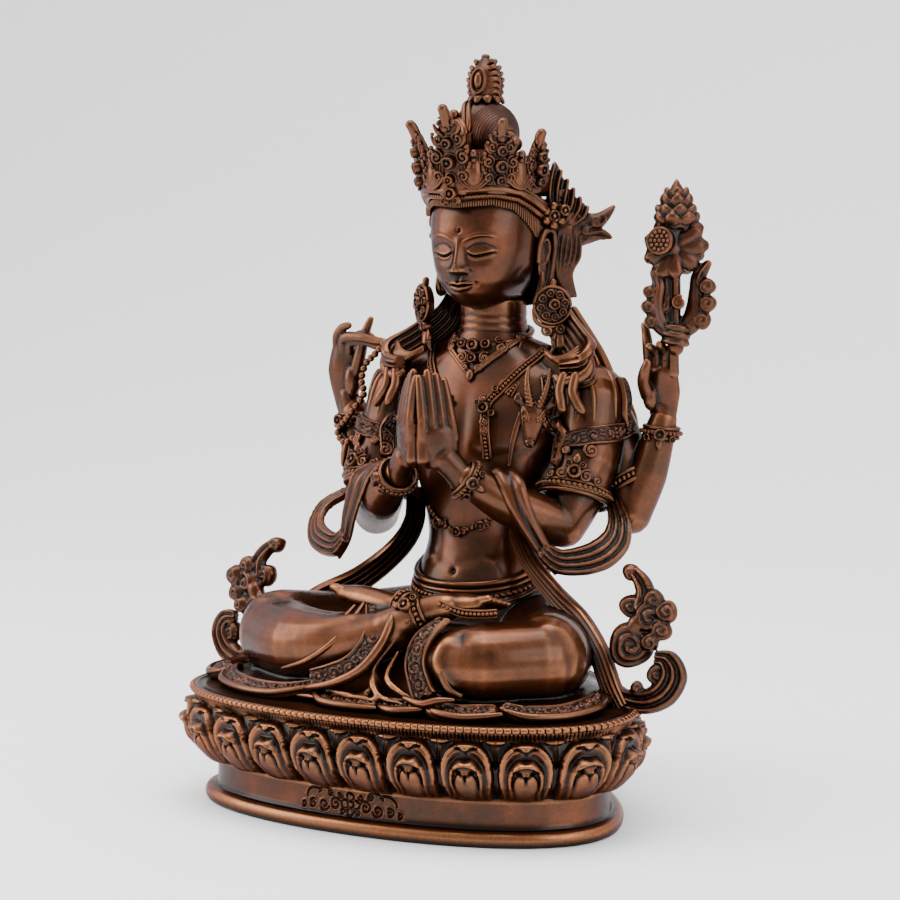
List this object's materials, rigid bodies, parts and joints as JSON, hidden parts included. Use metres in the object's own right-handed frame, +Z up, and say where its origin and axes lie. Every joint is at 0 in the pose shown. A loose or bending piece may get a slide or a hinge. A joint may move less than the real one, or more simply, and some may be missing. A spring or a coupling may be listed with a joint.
{
  "type": "seated deity statue",
  "caption": "Seated four-armed deity figure in oxidised copper with tall leaf crown, praying hands, rosary and lotus, on an oval petal-carved pedestal.",
  "frame": {"origin": "centre of the footprint box on the floor plane under the pedestal", "axes": "+Z up, the figure faces -Y, +X is the figure's left"},
  "size_m": [0.2462, 0.1758, 0.332],
  "materials": {
    "copper_pedestal": "oxidised copper, dark brown in the recesses, worn bright on petals and beads",
    "copper_figure": "oxidised copper, satin, warm brown skin with dark recesses",
    "copper_flower": "oxidised copper, burnished on petal edges"
  },
  "bodies": {
    "root": {"pedestal": "copper_pedestal", "figure": "copper_figure", "lotus_flower": "copper_flower"}
  },
  "joints": []
}
